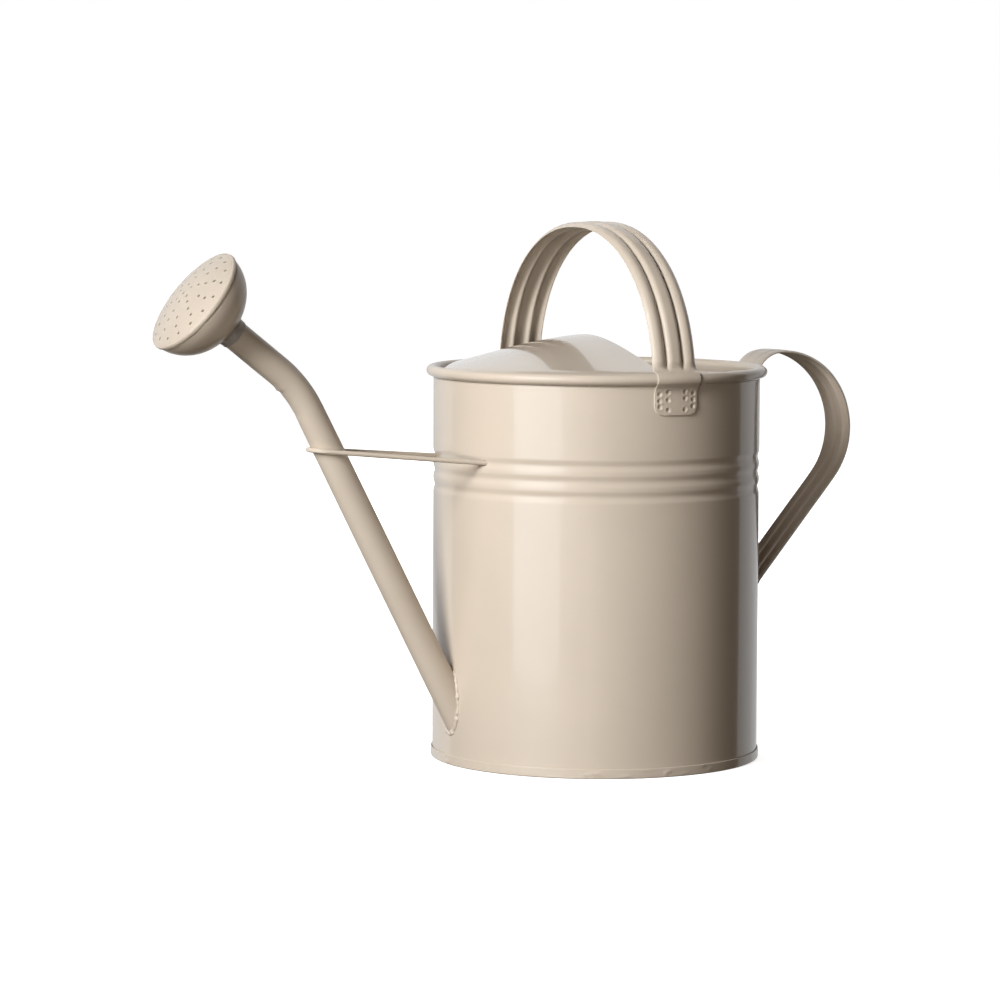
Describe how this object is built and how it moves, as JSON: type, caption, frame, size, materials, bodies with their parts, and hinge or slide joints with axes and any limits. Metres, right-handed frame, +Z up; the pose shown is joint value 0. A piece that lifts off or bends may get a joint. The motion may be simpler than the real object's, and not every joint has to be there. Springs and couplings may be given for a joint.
{
  "type": "watering can",
  "caption": "Painted sheet-steel watering can with a half-covered mouth, arched top handle, rear loop handle, braced long spout and a pull-off rose.",
  "frame": {"origin": "centre of the can's flat base, on the surface it stands on", "axes": "+Z up, -X towards the spout, +X towards the rear handle, the top handle arches across Y"},
  "size_m": [0.5141, 0.2322, 0.3613],
  "materials": {
    "painted_steel": "satin gloss beige paint on steel sheet",
    "painted_solder": "beige paint over a rough solder bead",
    "painted_wire": "satin beige paint on drawn wire",
    "zinc_collar": "rubbed satin zinc",
    "galvanised_wire": "galvanised"
  },
  "bodies": {
    "can": {"body_wall": "painted_steel", "rim_wire": "galvanised_wire", "base_disc": "painted_steel", "splash_cover": "painted_steel", "top_handle": "painted_steel", "rear_handle": "painted_steel", "spout_tube": "painted_steel", "spout_solder": "painted_solder", "brace_wire": "painted_wire"},
    "rose": {"rose_bowl": "painted_steel", "rose_face": "painted_steel", "rose_neck": "zinc_collar"}
  },
  "joints": [
    {"name": "rose_pull_off", "type": "slide", "parent": "can", "child": "rose", "axis": [-0.7902, 0, 0.6129], "range_m": [0, 0.06]}
  ]
}
